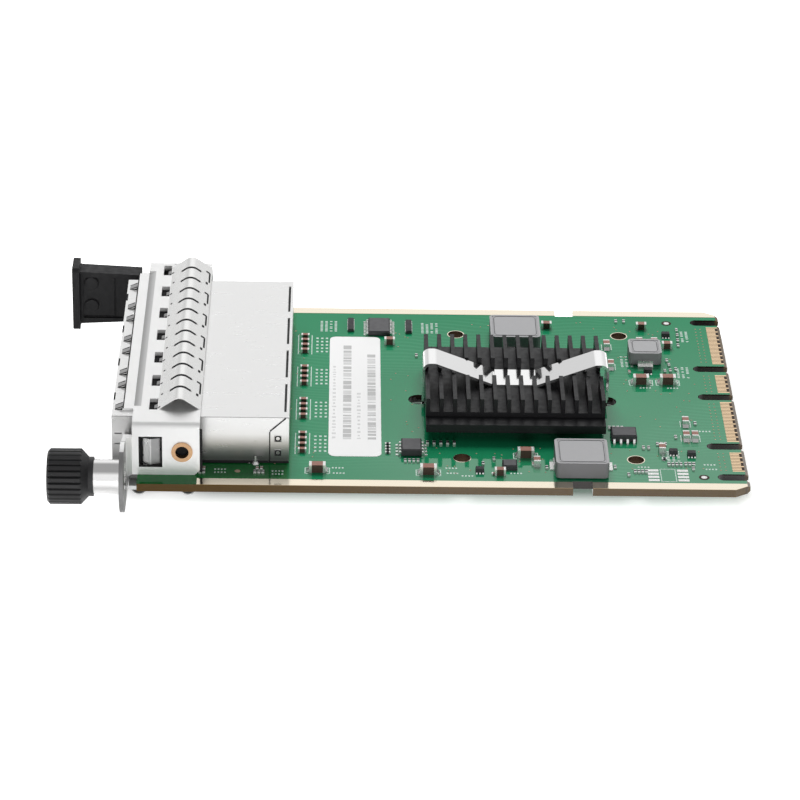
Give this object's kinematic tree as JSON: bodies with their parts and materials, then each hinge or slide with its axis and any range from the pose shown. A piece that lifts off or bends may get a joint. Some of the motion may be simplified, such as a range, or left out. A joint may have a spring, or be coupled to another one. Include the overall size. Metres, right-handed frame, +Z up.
{
  "type": "ethernet adapter card",
  "caption": "Slide-in network card: green board with an edge connector, modular jack ports in a folded steel bracket, heat sink under a bent clip, captive thumbscrew and pull tab.",
  "frame": {"origin": "middle of the contact edge, on the board's upper face", "axes": "+X from the ports to the contacts, the way the card slides in; +Y towards the pull tab's side; +Z up from the component side"},
  "size_m": [0.1317, 0.0878, 0.0199],
  "materials": {
    "green_board": "solder mask over glass laminate",
    "gold": "gold plate",
    "paper": "coated paper",
    "tin_plate": "tin-plated sheet",
    "black_moulding": "moulded plastic",
    "lens": "clear light guide",
    "ferrite": "pressed ferrite",
    "bracket_steel": "plated sheet steel",
    "spring_steel": "bright spring sheet",
    "brass_eyelet": "turned brass",
    "nickel": "nickel-plated turned steel",
    "black_anodised": "black anodised extrusion",
    "pad_compound": "soft thermal pad",
    "chip_moulding": "moulded epoxy",
    "inductor_core": "pressed powder core",
    "solder_tin": "tinned metal",
    "ceramic": "fired ceramic"
  },
  "bodies": {
    "card": {"circuit_board": "green_board", "edge_contacts": "gold", "ground_strip_near": "gold", "ground_strip_far": "gold", "paper_label": "paper", "jack_housing": "black_moulding", "jack_shield": "tin_plate", "jack_wires": "gold", "port_lights": "lens", "jack_transformers": "ferrite", "jack_pins": "solder_tin", "bracket": "bracket_steel", "spring_strip_upper": "spring_steel", "spring_strip_lower_front": "spring_steel", "spring_strip_lower_rear": "spring_steel", "side_spring_near": "spring_steel", "side_spring_far": "spring_steel", "eyelet_near": "brass_eyelet", "eyelet_far": "brass_eyelet", "screw_ferrule": "nickel", "screw_spring": "spring_steel", "tab_tongue": "bracket_steel", "pull_tab": "black_moulding", "tab_rivets": "black_moulding", "heat_sink": "black_anodised", "network_chip": "chip_moulding", "thermal_pad": "pad_compound", "heat_sink_clip": "spring_steel", "inductor_near": "inductor_core", "inductor_far": "inductor_core", "inductor_small": "inductor_core", "inductor_terminals": "solder_tin", "flash_chip": "chip_moulding", "monitor_chip": "chip_moulding", "controller_chip": "chip_moulding", "regulator_chip": "chip_moulding", "chip_leads": "solder_tin", "capacitor_bodies": "ceramic", "capacitor_ends": "solder_tin"},
    "screw_carriage": {"screw_retaining_ring": "spring_steel"},
    "thumbscrew": {"thumb_knob": "black_moulding", "captive_screw": "nickel"}
  },
  "joints": [
    {"name": "screw_slide", "type": "slide", "parent": "card", "child": "screw_carriage", "axis": [1, 0, 0], "range_m": [0, 0.0036], "stiffness_N_per_m": 300, "springref_m": -0.003, "deforming": ["screw_spring"]},
    {"name": "screw_turn", "type": "hinge", "parent": "screw_carriage", "child": "thumbscrew", "pos_m": [-0.12, -0.042, 0.00365], "axis": [1, 0, 0], "continuous": true}
  ]
}
